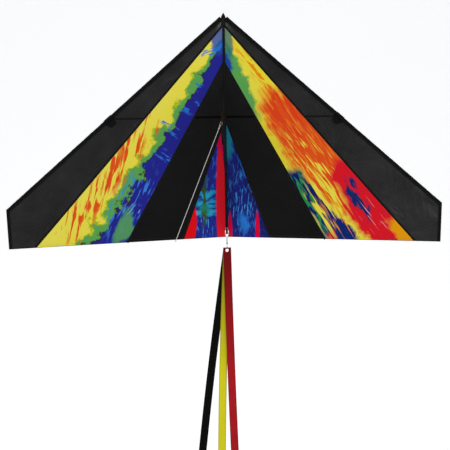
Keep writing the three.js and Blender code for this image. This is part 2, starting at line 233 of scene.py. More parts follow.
knot_wraps = wrapped_knot("line_knot_wraps", tow_pin + pull * 0.029, pull, 0.00125, 0.0052, 0.00062, 5,
    line_thread)
stopper_wraps = wrapped_knot("line_stopper_wraps", tow_pin + pull * 0.5414, pull, 0.0014, 0.0032, 0.0007, 3,
    line_thread)
for piece, node in ((line_cord, "flying_line"), (knot_wraps, "line_knot"), (stopper_wraps, "line_end_knot")):
    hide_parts(node)
    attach(piece, "line")

# ------------------------------------------------------------------
# Black sail panels. Thin ripstop with a soft sheen: the outer pair
# lies along the leading edges and the inner pair beside the middle.
# Each is cut flat and sewn in, so it billows and puckers a little.
# ------------------------------------------------------------------
DIHEDRAL = math.radians(5)
TIP = (0.711, -0.614)
HEEL = (0.704, -0.742)
SEAMS = {"outer": ((0, -0.041), (0.615, -0.7382)), "middle": ((0, -0.149), (0.323, -0.7258)),
    "centre": ((0, -0.341), (0.1375, -0.7179))}
ROOT = 0.0034
FOOT_Z = -0.7122
SPREADER_DEPTH = 0.3298
BILLOW = 0.010
RIPPLE = 0.0022
PUCKER = 0.0006
RIB_SLANT = math.radians(38)


def on_wing(side, x, z, lift=0.0):
    edge_x = max(min(-z * TIP[0] / -TIP[1], TIP[0]), 0.004)
    t = min(max(x / edge_x, 0), 1)
    low = min(max((-z - 0.1) / 0.5, 0), 1)
    billow = BILLOW * math.sin(math.pi * t) * (0.35 + 0.65 * low)
    foot = min(max((-z - 0.56) / 0.17, 0), 1) ** 2
    ripple = RIPPLE * math.sin(x / 0.034 + side) * foot * math.sin(math.pi * min(t * 1.02, 1))
    pucker = PUCKER * math.sin((x * 0.757 - z * 0.654) / 0.013 + side * 2) * math.sin(math.pi * t) ** 0.5
    y = x * math.sin(DIHEDRAL) + billow + ripple + pucker + lift
    return Vector((side * x * math.cos(DIHEDRAL), y, z))


def between(a, b, f):
    return (a[0] + (b[0] - a[0]) * f, a[1] + (b[1] - a[1]) * f)


def seam_at_root(seam):
    (x0, z0), (x1, z1) = SEAMS[seam]
    return (ROOT, z0 + (z1 - z0) * ROOT / (x1 - x0))


def sail_panel(name, side, inner, outer, rows, columns, material, foot_corner=None, relief=()):
    points = []
    cut = []
    bend = 0.0
    if foot_corner:
        legs = [inner[1], foot_corner, outer[1]]
        sizes = [math.dist(legs[0], legs[1]), math.dist(legs[1], legs[2])]
        bend = sizes[0] / sum(sizes)
    for i in range(rows + 1):
        s = i / rows
        left = between(inner[0], inner[1], s)
        right = between(outer[0], outer[1], s)
        for k in range(columns + 1):
            t = k / columns
            x, z = between(left, right, t)
            if bend:
                if t < bend:
                    target = between(legs[0], legs[1], t / bend)
                else:
                    target = between(legs[1], legs[2], (t - bend) / (1 - bend))
                plain = between(inner[1], outer[1], t)
                x += (target[0] - plain[0]) * s ** 3
                z += (target[1] - plain[1]) * s ** 3
            for below, above, least in relief:
                if below < z < above:
                    x = max(x, least)
            points.append(on_wing(side, x, z))
            cut.append((t, s))
    piece = link_mesh(name, points, grid_faces(rows, columns + 1, flipped=side > 0), material)
    layer = piece.data.uv_layers.new(name="cut")
    for loop in piece.data.loops:
        layer.data[loop.index].uv = cut[loop.vertex_index]
    return piece


def ribs(tree, spot, scale):
    """The raised threads of ripstop cloth, two sets that cross on the slant."""
    turn = place(tree, "ShaderNodeMapping", {"Vector": spot, "Rotation": (0, RIB_SLANT, 0)})
    raised = []
    for direction in ("X", "Z"):
        rib = place(tree, "ShaderNodeTexWave", {"Vector": turn.outputs[0], "Scale": scale},
                    wave_type="BANDS", bands_direction=direction)
        raised.append(place(tree, "ShaderNodeMapRange",
            {"Value": rib.outputs["Fac"], 1: 0.86, 2: 1.0}).outputs[0])
    return place(tree, "ShaderNodeMath", {0: raised[0], 1: raised[1]}, operation="MAXIMUM").outputs[0]


def ripstop(name, dark, pale, sheen, roughness, grid=0.0042, wrinkle=0.5, fold_size=16.0, rod_shadow_line=False,
        shine=0.12):
    material, tree, surface = node_material(name, roughness)
    spot = place(tree, "ShaderNodeTexCoord").outputs["Object"]
    clouds = place(tree, "ShaderNodeTexNoise", {"Vector": spot, "Scale": 7.0, "Detail": 5.0, "Roughness": 0.6})
    # patchy tone between dark and pale; on the satin the pale end is partly a painted sheen
    patchy = place(tree, "ShaderNodeMapRange", {"Value": clouds.outputs["Fac"], 1: 0.36, 2: 0.66})
    tint = blend(tree, patchy.outputs[0], dark, pale)
    height = ribs(tree, spot, 0.05 / grid * 6.28 / 2)
    weave = place(tree, "ShaderNodeTexNoise", {"Vector": spot, "Scale": 1400.0, "Detail": 2.0})
    crinkle = place(tree, "ShaderNodeTexNoise", {"Vector": spot, "Scale": fold_size, "Detail": 5.0,
        "Roughness": 0.5, "Distortion": 0.6})
    fine = bump(tree, height, 0.12, 0.0002)
    cloth_grain = bump(tree, weave.outputs["Fac"], 0.15, 0.0002, fine)
    folds = bump(tree, crinkle.outputs["Fac"], wrinkle, 0.006, cloth_grain)
    tree.links.new(folds, surface.inputs["Normal"])
    # painted highlight: the raised rib threads are painted a little lighter than the pale tone
    finished = blend(tree, height, tint, tuple(c * 1.06 for c in pale[:3]) + (1,))
    if rod_shadow_line:
        # painted shadow: a dark, dull line painted across the cloth where the spreader rod lies behind it
        split = place(tree, "ShaderNodeSeparateXYZ", {0: spot})
        off_rod = place(tree, "ShaderNodeMath", {0: split.outputs[2], 1: SPREADER_DEPTH}, operation="ADD")
        near = place(tree, "ShaderNodeMath", {0: off_rod.outputs[0]}, operation="ABSOLUTE")
        rod_shade = place(tree, "ShaderNodeMapRange", {"Value": near.outputs[0], 1: 0.0045, 2: 0.0025})
        finished = blend(tree, rod_shade.outputs[0], finished, (0.0008, 0.0008, 0.0008, 1))
        dull = place(tree, "ShaderNodeMapRange", {"Value": rod_shade.outputs[0], 3: roughness, 4: 0.95})
        tree.links.new(dull.outputs[0], surface.inputs["Roughness"])
    tree.links.new(finished, surface.inputs["Base Color"])
    surface.inputs["Sheen Weight"].default_value = sheen
    surface.inputs["Sheen Roughness"].default_value = 0.4
    surface.inputs["Specular IOR Level"].default_value = shine
    return material


# the satin's clouds run from near-black to a pale grey: partly random tone, partly a painted sheen of soft grey
# satin reflections
black_satin = ripstop("black_sail_satin", (0.0015, 0.0014, 0.0015, 1), (0.02, 0.018, 0.019, 1), 0.02, 0.3,
    wrinkle=1.2, fold_size=7.0, rod_shadow_line=True, shine=0.35)
black_plain = ripstop("black_sail_plain", (0.002, 0.0019, 0.002, 1), (0.0045, 0.0042, 0.0045, 1), 0.015, 0.5,
    wrinkle=0.3, rod_shadow_line=True)

for side, label in ((-1, "left"), (1, "right")):
    # inner end of the leading sleeve's seam, measured square to the edge
    sleeve_top = (ROOT, -ROOT * 0.8636 - 0.0165)
    sleeve_foot = (TIP[0] - 0.0078, TIP[1] - 0.0095)
    outer = sail_panel(label + "_outer_black", side, (seam_at_root("outer"), SEAMS["outer"][1]),
        (sleeve_top, sleeve_foot), 110, 36, black_satin, foot_corner=HEEL)
    inner = sail_panel(label + "_inner_black", side, (seam_at_root("centre"), SEAMS["centre"][1]),
                       (seam_at_root("middle"), SEAMS["middle"][1]), 70, 26, black_plain)
    for piece, nodes in ((outer, ("_outer_panel", "_tip_hem")), (inner, ("_inner_panel",))):
        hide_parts(*[label + node for node in nodes])
        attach(piece, label + "_wing")

# ------------------------------------------------------------------
# Printed sail panels. The same thin cloth, dyed by hand-drawn
# flames: yellow and orange outside, green between, blue inside.
# The left and right panels carry different parts of the drawing.
# ------------------------------------------------------------------


def ink(text):
    values = [int(text[i:i + 2], 16) / 255 for i in (0, 2, 4)]
    return tuple(v / 12.92 if v <= 0.04045 else ((v + 0.055) / 1.055) ** 2.4 for v in values) + (1,)


class Print:
    """One printed cloth: a ground colour with patches and strokes laid over it in turn."""

    def __init__(self, name):
        self.material, self.tree, self.surface = node_material(name, 0.7)
        tree = self.tree
        coords = place(tree, "ShaderNodeTexCoord")
        self.spot = coords.outputs["Object"]
        self.cut = place(tree, "ShaderNodeUVMap", uv_map="cut").outputs[0]
        wander = place(tree, "ShaderNodeTexNoise", {"Vector": self.spot, "Scale": 24.0, "Detail": 3.5,
            "Roughness": 0.55})
        centred = place(tree, "ShaderNodeVectorMath", {0: wander.outputs["Color"], 1: (0.5, 0.5, 0.5)},
            operation="SUBTRACT")
        shift = place(tree, "ShaderNodeVectorMath", {0: centred.outputs[0], "Scale": 0.055}, operation="SCALE")
        self.ragged = place(tree, "ShaderNodeVectorMath", {0: self.spot, 1: shift.outputs[0]},
            operation="ADD").outputs[0]
        self.wander = wander.outputs["Fac"]
        self.colour = None

    def ground(self, stops, waver=0.5, slant=0.0, slant_until=0.35):
        tree = self.tree
        split = place(tree, "ShaderNodeSeparateXYZ", {0: self.cut})
        loose = place(tree, "ShaderNodeMath", {0: self.wander, 1: 0.5}, operation="SUBTRACT")
        sway = place(tree, "ShaderNodeMath", {0: loose.outputs[0], 1: waver, 2: split.outputs[0]},
            operation="MULTIPLY_ADD")
        top = place(tree, "ShaderNodeMapRange", {"Value": split.outputs[1], 1: 0.0, 2: slant_until, 3: -slant,
            4: 0.0})
        across = place(tree, "ShaderNodeMath", {0: sway.outputs[0], 1: top.outputs[0]}, operation="ADD")
        ramp = place(tree, "ShaderNodeValToRGB", {0: across.outputs[0]})
        while len(ramp.color_ramp.elements) < len(stops):
            ramp.color_ramp.elements.new(0.5)
        for element, (at, colour) in zip(ramp.color_ramp.elements, stops):
            element.position = at
            element.color = ink(colour)
        self.colour = ramp.outputs[0]

    def spread(self, x, z, angle, width, length, soft=0.35, ragged=True):
        tree = self.tree
        fit = place(tree, "ShaderNodeMapping", {
            "Vector": self.ragged if ragged else self.spot, "Location": (x, 0, z),
            "Rotation": (0, math.radians(angle), 0), "Scale": (width, 9, length)}, vector_type="TEXTURE")
        ball = place(tree, "ShaderNodeTexGradient", {0: fit.outputs[0]}, gradient_type="SPHERICAL")
        return place(tree, "ShaderNodeMapRange", {"Value": ball.outputs["Fac"], 1: 0.0, 2: soft}).outputs[0]

    def streaks(self, angle, fineness, reach, keep, seed=0.0, soft=0.05):
        tree = self.tree
        fit = place(tree, "ShaderNodeMapping", {
            "Vector": self.spot, "Location": (seed, seed, 0),
            "Rotation": (0, math.radians(angle), 0), "Scale": (1 / fineness, 1 / 3, 1 / reach)},
            vector_type="TEXTURE")
        drawn = place(tree, "ShaderNodeTexNoise", {"Vector": fit.outputs[0], "Scale": 1.0, "Detail": 2.5,
            "Roughness": 0.5, "Distortion": 0.2})
        return place(tree, "ShaderNodeMapRange", {"Value": drawn.outputs["Fac"], 1: keep,
            2: keep + soft}).outputs[0]

    def lay(self, colour, *masks, strength=1.0):
        tree = self.tree
        cover = strength
        for mask in masks:
            cover = place(tree, "ShaderNodeMath", {0: mask, 1: cover}, operation="MULTIPLY").outputs[0]
        self.colour = blend(tree, cover, self.colour, ink(colour))

    def paint(self, colour, patch, strokes=None, strength=1.0):
        """patch is x, z, lean, breadth, length and softness; strokes are lean, fineness, reach, share left
        bare, seed and softness."""
        masks = [self.spread(*patch)] + ([self.streaks(*strokes)] if strokes else [])
        self.lay(colour, *masks, strength=strength)

    def finish(self):
        tree = self.tree
        height = ribs(tree, self.spot, 38.0)
        shade = place(tree, "ShaderNodeMath", {0: height, 1: 0.08}, operation="MULTIPLY")
        dark = blend(tree, shade.outputs[0], self.colour, (0.02, 0.02, 0.02, 1))
        crinkle = place(tree, "ShaderNodeTexNoise", {"Vector": self.spot, "Scale": 14.0, "Detail": 5.0})
        fine = bump(tree, height, 0.2, 0.0003)
        folds = bump(tree, crinkle.outputs["Fac"], 0.25, 0.005, fine)
        tree.links.new(dark, self.surface.inputs["Base Color"])
        tree.links.new(folds, self.surface.inputs["Normal"])
        self.surface.inputs["Specular IOR Level"].default_value = 0.08
        glow = place(tree, "ShaderNodeBsdfTranslucent", {"Color": dark, "Normal": folds})
        through = place(tree, "ShaderNodeMixShader", {0: 0.05, 1: self.surface.outputs[0], 2: glow.outputs[0]})
        tree.links.new(through.outputs[0], tree.nodes["Material Output"].inputs["Surface"])
        return self.material


YELLOW, ORANGE, RED, GREEN, BROWN = "FFF04C", "F6581C", "F0182A", "62B258", "3A2418"
DEEP_BLUE, SKY, PALE = "26289A", "2A7AE0", "A8D8FF"

left_flames = Print("left_flame_print")
left_flames.ground([(0.0, DEEP_BLUE), (0.3, DEEP_BLUE), (0.34, BROWN), (0.375, GREEN), (0.47, GREEN),
    (0.52, "C8D41E"), (0.56, YELLOW), (1.0, "FFF25A")], waver=0.75, slant=0.22)
left_flames.paint("2458B4", (-0.012, -0.075, 0, 0.03, 0.07), None, 0.9)
left_flames.paint(SKY, (-0.035, -0.12, 60, 0.012, 0.04), (70, 60, 16, 0.45))
for x, z in ((-0.078, -0.235), (-0.115, -0.29), (-0.165, -0.36), (-0.2, -0.46)):
    left_flames.paint(SKY, (x, z, -62, 0.03, 0.05), (-58, 90, 26, 0.57, x))
left_flames.paint("3A8CEC", (-0.31, -0.61, 28, 0.07, 0.17, 0.5), (24, 130, 20, 0.56, 3))
left_flames.paint(PALE, (-0.3, -0.66, 28, 0.06, 0.1, 0.5), (40, 210, 26, 0.63, 5), 0.8)
for x, z in ((-0.25, -0.34), (-0.3, -0.42), (-0.36, -0.5), (-0.42, -0.58), (-0.49, -0.66)):
    left_flames.paint(ORANGE, (x, z, 16, 0.045, 0.1, 0.5), (13, 85, 11, 0.535, z * 9, 0.04))
left_flames.paint("F2481A", (-0.37, -0.53, 20, 0.028, 0.06), (18, 60, 10, 0.48, 8))
left_flames.paint(GREEN, (-0.33, -0.68, 20, 0.03, 0.07), None, 0.8)

right_flames = Print("right_flame_print")
right_flames.ground([(0.0, "F4E438"), (0.4, YELLOW), (1.0, "FFEC3C")], waver=0.3)
for row in (
    (GREEN, (0.035, -0.2, -27, 0.035, 0.18, 0.3)),
    ("2A7A78", (0.01, -0.08, -10, 0.02, 0.07), None, 0.85),
    ("1E48A8", (0.012, -0.16, -20, 0.018, 0.05, 0.6)),
    ("FF9A00", (0.11, -0.19, -38, 0.035, 0.15, 0.6), (-40, 90, 16, 0.52, 1)),
    ("FF7E22", (0.28, -0.44, -38, 0.082, 0.27, 0.3)),
    (ORANGE, (0.29, -0.46, -38, 0.085, 0.28, 0.3), (-36, 120, 14, 0.42, 2)),
    ("F2481A", (0.2, -0.33, -30, 0.07, 0.13, 0.4), (-30, 90, 12, 0.46, 4)),
    (YELLOW, (0.3, -0.5, -38, 0.08, 0.2, 0.5), (-38, 170, 13, 0.56, 6)),
    (RED, (0.49, -0.62, -40, 0.1, 0.21, 0.15)),
    ("122C70", (0.43, -0.6, -28, 0.026, 0.09, 0.3), (-26, 70, 13, 0.45, 21)),
    ("101E6A", (0.29, -0.64, -30, 0.052, 0.17, 0.15)),
    ("0C2A78", (0.36, -0.705, -50, 0.05, 0.11, 0.2)),
    ("2E9A4A", (0.26, -0.6, -28, 0.035, 0.15, 0.4), (-28, 100, 18, 0.5, 7)),
    ("D80838", (0.345, -0.725, 0, 0.022, 0.035), (-8, 80, 14, 0.42, 9)),
    (YELLOW, (0.33, -0.62, -30, 0.075, 0.15, 0.5), (-31, 75, 8.5, 0.49, 11)),
    ("FF9A00", (0.36, -0.64, -30, 0.05, 0.12, 0.5), (-30, 120, 10, 0.55, 14)),
    ("FFAA04", (0.575, -0.71, -40, 0.035, 0.07, 0.4)),
    ("FF9C9C", (0.48, -0.66, -38, 0.05, 0.1, 0.5), (-38, 260, 14, 0.63, 12)),
):
    right_flames.paint(*row)

left_fan = Print("left_fan_print")
left_fan.ground([(0.0, "262A96"), (0.5, "222E98"), (1.0, "28288C")], waver=0.4)
left_fan.paint("1E6CDC", (-0.05, -0.5, 0, 0.06, 0.14, 0.5), (12, 150, 26, 0.56, 1))
for z, reach in ((-0.575, 0.012), (-0.605, 0.02), (-0.635, 0.014)):
    left_fan.paint("2AAEDC", (-0.067, z, 0, 0.048, reach, 0.5), (82, 120, 24, 0.34, z))
for row in (
    ("3C5A10", (-0.067, -0.6, 0, 0.009, 0.12, 0.5)),
    ("1E9C7C", (-0.067, -0.62, 0, 0.022, 0.026, 0.7), None, 0.7),
    ("58B4F4", (-0.07, -0.68, 0, 0.04, 0.05, 0.5), (0, 230, 40, 0.58, 3)),
    ("D80048", (-0.012, -0.47, 4, 0.016, 0.16, 0.3)),
    (RED, (-0.017, -0.62, 0, 0.0165, 0.2, 0.12, False)),
    ("F50814", (-0.128, -0.7, 12, 0.03, 0.1, 0.15, False)),
):
    left_fan.paint(*row)

right_fan = Print("right_fan_print")
right_fan.ground([(0.0, "1C2478"), (0.5, "22288C"), (1.0, "1C1E68")], waver=0.4)
for row in (
    ("1E70D8", (0.06, -0.56, -18, 0.06, 0.2, 0.5), (-17, 150, 20, 0.56, 1)),
    ("1C94A8", (0.006, -0.4, 0, 0.014, 0.08, 0.5), None, 0.8),
    ("48A6F0", (0.05, -0.6, 0, 0.055, 0.13, 0.6), (8, 210, 26, 0.56, 4)),
    ("2880E0", (0.055, -0.67, 0, 0.02, 0.04, 0.6)),
):
    right_fan.paint(*row)
for x in (0.011, 0.099):
    right_fan.paint("E80040", (x, -0.7, 0, 0.008, 0.075, 0.25, False))

for side, label, flames, fan in ((-1, "left", left_flames.finish(), left_fan.finish()),
        (1, "right", right_flames.finish(), right_fan.finish())):
    flame = sail_panel(label + "_flame_cloth", side, (seam_at_root("middle"), SEAMS["middle"][1]),
                       (seam_at_root("outer"), SEAMS["outer"][1]), 110, 36, flames)
    # the foot is cut back beside the spine so that the tail's cord can swing clear
    wedge = sail_panel(label + "_fan_cloth", side, (seam_at_root("centre"), (ROOT, FOOT_Z)),
                       (seam_at_root("centre"), SEAMS["centre"][1]), 60, 20, fan,
                       relief=((-0.704, -0.693, 0.0058), (-0.711, -0.704, 0.0054)))
    for piece, nodes in ((flame, ("_dye_panel", "_trailing_hem")), (wedge, ("_centre_panel",))):
        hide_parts(*[label + node for node in nodes])
        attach(piece, label + "_wing")

# ------------------------------------------------------------------
# Seams. Every panel joint is felled under a narrow black tape, and
# the trailing edge and the tips are turned under and stitched down,
# the tips with two rows of thread and the trailing edge with one.
# ------------------------------------------------------------------
tape_cloth = ripstop("seam_tape_cloth", (0.0012, 0.0012, 0.0012, 1), (0.003, 0.003, 0.003, 1), 0.01, 0.62,
    grid=0.0024, wrinkle=0.15)
grey_thread = thread_material("grey_sewing_thread", (0.09, 0.085, 0.088, 1), (0.035, 0.033, 0.035, 1), 1500.0)


def tape(name, side, start, end, offsets, material, steps=90, lift=-0.00045, thick=0.0004, body=None):
    points = []
    along = Vector((end[0] - start[0], end[1] - start[1])).normalized()
    square = Vector((along[1], -along[0]))
    for i in range(steps + 1):
        x, z = between(start, end, i / steps)
        rim = [(offsets[0], 0.0), (offsets[0] + 0.0004, lift), (offsets[1] - 0.0004, lift), (offsets[1], 0.0),
               (offsets[1] - 0.0004, thick), (offsets[0] + 0.0004, thick)]
        for off, rise in rim:
            points.append(on_wing(side, x + square[0] * off, z + square[1] * off, rise))
    count = len(rim)
    faces = grid_faces(steps, count, closed=True, flipped=side < 0)
    first = tuple(range(count))
    last = tuple(n + steps * count for n in first)
    faces += [first, last[::-1]] if side < 0 else [first[::-1], last]
    piece = link_mesh(name, points, faces, material, smooth=False)
    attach(piece, body)
    return piece


def stitches(name, lines, material, body, length=0.0022, gap=0.001, width=0.00028, rise=0.00026):
    points = []
    faces = []
    for line, normal in lines:
        run = 0.0
        spans = []
        for a, b in zip(line, line[1:]):
            spans.append((run, a, b))
            run += (b - a).length
        at = gap
        index = 0
        while at + length < run:
            while index + 1 < len(spans) and spans[index + 1][0] <= at:
                index += 1
            begun, a, b = spans[index]
            along = (b - a).normalized()
            here = a + along * (at - begun)
            there = here + along * length
            across = normal.cross(along).normalized() * width
            up = normal * rise
            base = len(points)
            middle = (here + there) / 2
            points += [here, middle - across + up * 0.7, middle + up * 1.5, middle + across + up * 0.7, there]
            faces += [(base, base + 1, base + 2), (base, base + 2, base + 3), (base + 4, base + 2, base + 1),
                (base + 4, base + 3, base + 2)]
            at += length + gap
    piece = link_mesh(name, points, faces, material)
    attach(piece, body)
    return piece


def on_line(side, start, end, offset, lift, steps=60, skip=0.0):
    along = Vector((end[0] - start[0], end[1] - start[1])).normalized()
    square = Vector((along[1], -along[0])) * offset
    line = []
    for i in range(steps + 1):
        x, z = between(start, end, skip + (1 - 2 * skip) * i / steps)
        line.append(on_wing(side, x + square[0], z + square[1], lift))
    return line


flyer_side = Vector((0, -1, 0))
for side, label in ((-1, "left"), (1, "right")):
    wing = label + "_wing"
    rows = []
    for seam, offsets in (("outer", (-0.0066, 0.0004)), ("middle", (-0.0006, 0.0062)),
            ("centre", (-0.0062, 0.0006))):
        start, end = seam_at_root(seam), SEAMS[seam][1]
        tape("%s_%s_seam" % (label, seam), side, start, end, offsets, tape_cloth, body=wing)
        for offset in (offsets[0] + 0.0012, offsets[1] - 0.0012):
            rows.append((on_line(side, start, end, offset, -0.0005, skip=0.004), flyer_side))
    tape(label + "_trailing_fold", side, (ROOT, FOOT_Z), HEEL, (-0.0006, 0.0006), tape_cloth, body=wing,
        lift=-0.0006, thick=0.0006)
    tape(label + "_tip_binding", side, TIP, HEEL, (-0.0004, 0.0112), tape_cloth, steps=30, body=wing,
        lift=-0.0006)
    rows.append((on_line(side, TIP, HEEL, 0.0098, -0.0007, skip=0.02), flyer_side))
    rows.append((on_line(side, TIP, HEEL, 0.002, -0.0007, skip=0.02), flyer_side))
    rows.append((on_line(side, (ROOT, FOOT_Z), HEEL, -0.0066, -0.0003, steps=120, skip=0.003), flyer_side))
    stitches(label + "_seam_stitches", rows, grey_thread, wing)

# ------------------------------------------------------------------
# Leading-edge sleeves. The sail's edge is a heavier black cloth
# folded round the glass-fibre spar and sewn flat behind it, cut away
# where the spreader clips on, with a doubled patch beside the gap.
# ------------------------------------------------------------------
sleeve_cloth = ripstop("edge_sleeve_cloth", (0.0015, 0.0014, 0.0015, 1), (0.004, 0.0038, 0.004, 1), 0.02, 0.5,
    grid=0.0018, wrinkle=0.35)
EDGE_LENGTH = math.hypot(*TIP)
EDGE_ALONG = Vector((TIP[0], TIP[1])) / EDGE_LENGTH
EDGE_IN = Vector((EDGE_ALONG[1], -EDGE_ALONG[0]))
SPREADER_AT = 0.326 / -EDGE_ALONG[1]


def on_edge(side, distance, inset, out):
    plan = EDGE_ALONG * distance + EDGE_IN * inset
    x, z = plan[0], plan[1]
    flat = Vector((side * x * math.cos(DIHEDRAL), x * math.sin(DIHEDRAL), z))
    return flat + Vector((-side * math.sin(DIHEDRAL), math.cos(DIHEDRAL), 0)) * out


def sleeve_loop(side, distance, radius, tail, rng):
    loop = []
    ease = 1 + 0.035 * math.sin(distance * 310 + rng) + 0.03 * math.sin(distance * 97 + rng * 2)
    for k in range(17):
        angle = math.radians(62 + (360 - 124) * k / 16)
        loop.append(on_edge(side, distance, 0.005 + math.cos(angle) * radius * ease,
            math.sin(angle) * radius * ease))
    for inset, out in ((0.0095, -0.0012), (tail, -0.00075), (tail, 0.00075), (0.0095, 0.0012)):
        loop.append(on_edge(side, distance, inset, out))
    return loop


for side, label in ((-1, "left"), (1, "right")):
    wing = label + "_wing"
    rows = []
    for part, start, end in (("upper", 0.0165, SPREADER_AT - 0.013),
            ("lower", SPREADER_AT + 0.013, EDGE_LENGTH + 0.0005)):
        count = int((end - start) / 0.003)
        points = []
        for i in range(count + 1):
            distance = start + (end - start) * i / count
            mouth = min((distance - start) / 0.006, (end - distance) / 0.006, 1)
            points += sleeve_loop(side, distance, 0.00435 + 0.0002 * (1 - mouth), 0.0141, side + 2)
        faces = grid_faces(count, len(points) // (count + 1), closed=True, flipped=side > 0)
        piece = link_mesh("%s_edge_sleeve_%s" % (label, part), points, faces, sleeve_cloth)
        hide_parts("%s_sleeve_%s" % (label, part))
        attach(piece, wing)
        for inset in (0.0108, 0.0128):
            sewn = end - start - 0.006
            row = [on_edge(side, start + 0.003 + sewn * i / 40, inset, -0.0011) for i in range(41)]
            rows.append((row, flyer_side))
    stitches(label + "_sleeve_stitches", rows, grey_thread, wing)

    cover_points = []
    for i in range(31):
        distance = SPREADER_AT - 0.0150 + 0.030 * i / 30
        proud = 0.0059 + 0.0003 * math.sin(i * 0.9)
        arc = []
        for degrees in range(-40, -196, -13):
            angle = math.radians(degrees)
            arc.append((0.005 + math.cos(angle) * proud, math.sin(angle) * proud))
        strip = [(0.0146, -0.0008), (0.0122, -0.0014)] + arc
        cover_points += [on_edge(side, distance, inset, out) for inset, out in strip]
    cover = link_mesh(label + "_gap_cover", cover_points, grid_faces(30, len(strip), flipped=side < 0),
        sleeve_cloth)
    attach(cover, wing)

    patch_points = []
    for i in range(13):
        for k in range(9):
            inset = 0.0146 + 0.0194 * k / 8
            half = 0.019 * (1 - 0.4 * k / 8)
            plan = EDGE_ALONG * (SPREADER_AT - half + 2 * half * i / 12) + EDGE_IN * inset
            patch_points.append(on_wing(side, plan[0], plan[1], -0.0006))
    patch = link_mesh(label + "_gap_patch", patch_points, grid_faces(12, 9, flipped=side < 0), tape_cloth)
    edge_fold = patch.modifiers.new("doubled_cloth", "SOLIDIFY")
    edge_fold.thickness = 0.0005
    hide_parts(label + "_spreader_patch")
    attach(patch, wing)
    rim = [(SPREADER_AT - 0.0175, 0.016), (SPREADER_AT - 0.0105, 0.0328), (SPREADER_AT + 0.0105, 0.0328),
        (SPREADER_AT + 0.0175, 0.016)]
    rim_line = []
    for (d0, i0), (d1, i1) in zip(rim, rim[1:]):
        for f in range(8):
            plan = EDGE_ALONG * (d0 + (d1 - d0) * f / 8) + EDGE_IN * (i0 + (i1 - i0) * f / 8)
            rim_line.append(on_wing(side, plan[0], plan[1], -0.0012))
    stitches(label + "_patch_stitches", [(rim_line, flyer_side)], grey_thread, wing)

# ------------------------------------------------------------------
# Rods, caps and clips. Pultruded glass-fibre rods, black and finely
# lined along their length, with soft moulded vinyl caps and the two
# forked clips that push onto the spars from behind.
# ------------------------------------------------------------------
rod_glass, tree, surface, _, streak = two_tone(
    "glass_fibre_rod", 0.32, 420.0, (0.006, 0.006, 0.007, 1), (0.03, 0.029, 0.028, 1), 4.0)
tree.links.new(bump(tree, streak, 0.25, 0.0002), surface.inputs["Normal"])
surface.inputs["Coat Weight"].default_value = 0.3

soft_vinyl, tree, surface, spot, scuff = two_tone(
    "soft_black_vinyl", 0.42, 60.0, (0.004, 0.004, 0.004, 1), (0.014, 0.014, 0.015, 1))
orange_peel = place(tree, "ShaderNodeTexNoise", {"Vector": spot, "Scale": 700.0, "Detail": 3.0})
vinyl_rough = place(tree, "ShaderNodeMapRange", {"Value": scuff, 1: 0.3, 2: 0.7, 3: 0.32, 4: 0.55})
tree.links.new(vinyl_rough.outputs[0], surface.inputs["Roughness"])
tree.links.new(bump(tree, orange_peel.outputs["Fac"], 0.2, 0.0002), surface.inputs["Normal"])


def finish_nodes(names, material):
    for name in names:
        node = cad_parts[name]
        for slot in node.material_slots:
            slot.material = material
        if not node.material_slots:
            node.data.materials.append(material)


finish_nodes(("left_leading_spar", "right_leading_spar", "spine_spar", "spreader_rod"), rod_glass)
finish_nodes(("left_spar_tip_cap", "left_spar_nose_cap", "right_spar_tip_cap", "right_spar_nose_cap",
    "spine_foot_cap", "spreader_clip_left", "spreader_clip_right"), soft_vinyl)

# ------------------------------------------------------------------
# Nose pocket and spine sleeve. A doubled webbing pocket closes the
# nose to a small point, and a cloth tube holds the spine rod down
# the middle of the sail.
# ------------------------------------------------------------------
webbing = ripstop("nose_webbing", (0.0015, 0.0015, 0.0015, 1), (0.005, 0.0048, 0.005, 1), 0.04, 0.6,
    grid=0.0011, wrinkle=0.2)
pocket_points = []
ring = 28
levels = [0.0, -0.002, -0.005, -0.009, -0.013, -0.018, -0.024, -0.03, -0.036, -0.04, -0.0418, -0.042]
for z in levels:
    half = min(0.0012 - z * 0.53, 0.0074)
    deep = min(0.0010 - z * 0.22, 0.0045)
    if z <= -0.0418:
        deep *= 0.86
    for k in range(ring):
        angle = k / ring * math.tau
        c, s = math.cos(angle), math.sin(angle)
        pinch = 1 + 0.03 * math.sin(z * 900 + k)
        pocket_points.append((math.copysign(abs(c) ** 0.75, c) * half,
            math.copysign(abs(s) ** 0.85, s) * deep * pinch, z))
pocket_faces = grid_faces(len(levels) - 1, ring, closed=True, flipped=True)
pocket_faces.append(tuple(range(ring)))
pocket_faces.append(tuple(reversed(range((len(levels) - 1) * ring, len(levels) * ring))))
pocket = link_mesh("nose_pocket_cloth", pocket_points, pocket_faces, webbing)
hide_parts("nose_pocket")
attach(pocket, "spine")
pocket_rows = []
for z in (-0.0385, -0.0355):
    pocket_rows.append(([Vector((x / 1000, -0.0046, z)) for x in (-5.5, -2, 2, 5.5)], flyer_side))
pocket_rows.append(([Vector((-0.0055, -0.0043, -0.016)), Vector((0.0055, -0.0043, -0.034))], flyer_side))
pocket_rows.append(([Vector((0.0055, -0.0043, -0.016)), Vector((-0.0055, -0.0043, -0.034))], flyer_side))
stitches("nose_pocket_stitches", pocket_rows, grey_thread, "spine", width=0.0004)

tube_points = []
tube_steps = 200
for i in range(tube_steps + 1):
    z = -0.0423 - (0.684 - 0.0423) * i / tube_steps
    for k in range(20):
        angle = k / 20 * math.tau
        pull_in = 0.0041 + 0.00018 * math.sin(z * 420 + 2 * angle) + 0.0001 * math.sin(z * 1300)
        tube_points.append((math.cos(angle) * pull_in, math.sin(angle) * pull_in, z))
tube_faces = grid_faces(tube_steps, 20, closed=True, flipped=True)
spine_tube = link_mesh("spine_tube_cloth", tube_points, tube_faces, sleeve_cloth)
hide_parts("spine_sleeve")
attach(spine_tube, "spine")

